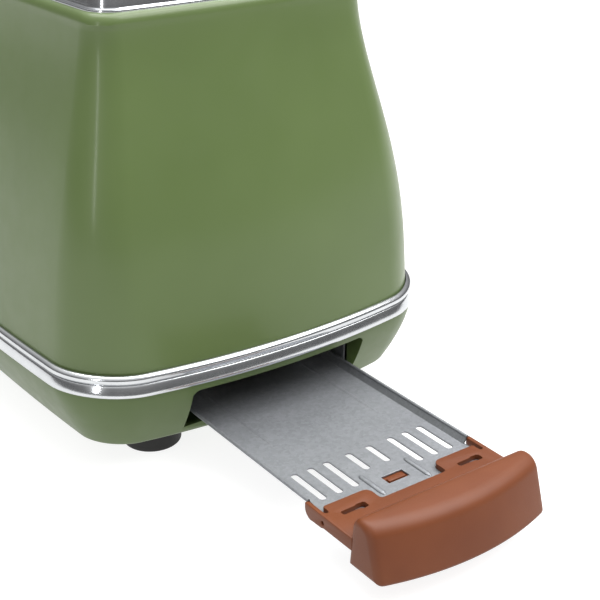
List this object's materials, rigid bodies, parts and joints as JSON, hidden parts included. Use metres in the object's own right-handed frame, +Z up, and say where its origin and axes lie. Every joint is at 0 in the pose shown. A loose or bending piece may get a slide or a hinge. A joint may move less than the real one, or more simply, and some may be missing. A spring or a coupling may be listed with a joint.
{
  "type": "two-slice pop-up toaster",
  "caption": "Two-slice pop-up toaster with a flared painted body, chrome deck and band, and a pull-out crumb tray in one end.",
  "frame": {"origin": "middle of the footprint, on the surface that the feet stand on", "axes": "X across the width, the crumb tray's end faces -Y, the lever's end faces +Y, +Z up"},
  "size_m": [0.19, 0.4172, 0.195],
  "materials": {
    "green_paint": "gloss",
    "green_plastic": "gloss",
    "chrome": "polished",
    "galvanised_steel": "satin",
    "bright_steel": "satin",
    "satin_steel": "satin",
    "dark_steel": "satin",
    "heating_ribbon": "satin",
    "mica": "matte",
    "black_rubber": "matte",
    "black_plastic": "satin",
    "white_plastic": "satin",
    "circuit_board": "satin",
    "tan_plastic": "satin"
  },
  "bodies": {
    "root": {"body_shell": "green_paint", "chrome_band": "chrome", "base": "green_plastic", "base_plate": "galvanised_steel", "top_deck": "chrome", "foot_tray_end_left": "black_rubber", "foot_tray_end_right": "black_rubber", "foot_lever_end_left": "black_rubber", "foot_lever_end_right": "black_rubber", "slot_liner_left": "galvanised_steel", "slot_liner_right": "galvanised_steel", "chassis_top_plate": "galvanised_steel", "chassis_plate_lever_end": "galvanised_steel", "chassis_plate_tray_end": "galvanised_steel", "reflector_left": "bright_steel", "reflector_right": "bright_steel", "heater_card_left": "mica", "heater_card_centre": "mica", "heater_card_right": "mica", "heating_wire_left": "heating_ribbon", "heating_wire_centre": "heating_ribbon", "heating_wire_right": "heating_ribbon", "electromagnet": "dark_steel", "guide_rod_left": "bright_steel", "guide_rod_right": "bright_steel", "lift_spring_left": "bright_steel", "lift_spring_right": "bright_steel", "lever_slot_trim": "chrome", "browning_control": "black_plastic", "knob_ring": "chrome", "button_rings": "satin_steel", "button_switches": "black_plastic", "control_board": "circuit_board", "power_switch": "black_plastic", "terminal_block": "white_plastic", "cord_gland": "black_rubber", "tray_rail_left": "galvanised_steel", "tray_rail_right": "galvanised_steel", "base_screws": "bright_steel", "chassis_screws": "bright_steel"},
    "tray": {"crumb_tray": "galvanised_steel", "tray_handle": "tan_plastic"},
    "carriage": {"bread_rack_left": "bright_steel", "bread_rack_right": "bright_steel", "carriage_bracket": "galvanised_steel", "latch_plate": "dark_steel", "lever_arm": "bright_steel", "lever_knob": "tan_plastic"},
    "guard_left_outer": {"guard_left_outer": "bright_steel"},
    "guard_left_inner": {"guard_left_inner": "bright_steel"},
    "guard_right_inner": {"guard_right_inner": "bright_steel"},
    "guard_right_outer": {"guard_right_outer": "bright_steel"},
    "browning": {"browning_knob": "tan_plastic", "browning_shaft": "bright_steel"},
    "reheat": {"button_reheat": "chrome"},
    "defrost": {"button_defrost": "chrome"},
    "cancel": {"button_cancel": "chrome"}
  },
  "joints": [
    {"name": "tray_slide", "type": "slide", "parent": "root", "child": "tray", "axis": [0, -1, 0], "range_m": [-0.106, 0.125]},
    {"name": "carriage_slide", "type": "slide", "parent": "root", "child": "carriage", "axis": [0, 0, 1], "range_m": [-0.06, 0.01], "stiffness_N_per_m": 100, "springref_m": 0.0094, "deforming": ["lift_spring_left", "lift_spring_right"]},
    {"name": "guard_left_outer_slide", "type": "slide", "parent": "root", "child": "guard_left_outer", "axis": [-1, 0, 0], "range_m": [-0.0062, 0.0012]},
    {"name": "guard_left_inner_slide", "type": "slide", "parent": "root", "child": "guard_left_inner", "axis": [1, 0, 0], "range_m": [-0.0062, 0.0012]},
    {"name": "guard_right_inner_slide", "type": "slide", "parent": "root", "child": "guard_right_inner", "axis": [-1, 0, 0], "range_m": [-0.0062, 0.0012]},
    {"name": "guard_right_outer_slide", "type": "slide", "parent": "root", "child": "guard_right_outer", "axis": [1, 0, 0], "range_m": [-0.0062, 0.0012]},
    {"name": "browning_turn", "type": "hinge", "parent": "root", "child": "browning", "pos_m": [0, 0.14, 0.069], "axis": [0, 1, 0], "range_deg": [-135, 135]},
    {"name": "reheat_press", "type": "slide", "parent": "root", "child": "reheat", "axis": [0, -1, 0], "range_m": [0, 0.0025], "stiffness_N_per_m": 200, "springref_m": -0.002},
    {"name": "defrost_press", "type": "slide", "parent": "root", "child": "defrost", "axis": [0, -1, 0], "range_m": [0, 0.0025], "stiffness_N_per_m": 200, "springref_m": -0.002},
    {"name": "cancel_press", "type": "slide", "parent": "root", "child": "cancel", "axis": [0, -1, 0], "range_m": [0, 0.0025], "stiffness_N_per_m": 200, "springref_m": -0.002}
  ],
  "couplings": [
    {"joint": "guard_left_outer_slide", "follows": "carriage_slide", "ratio": 0.1},
    {"joint": "guard_left_inner_slide", "follows": "carriage_slide", "ratio": 0.1},
    {"joint": "guard_right_inner_slide", "follows": "carriage_slide", "ratio": 0.1},
    {"joint": "guard_right_outer_slide", "follows": "carriage_slide", "ratio": 0.1}
  ]
}
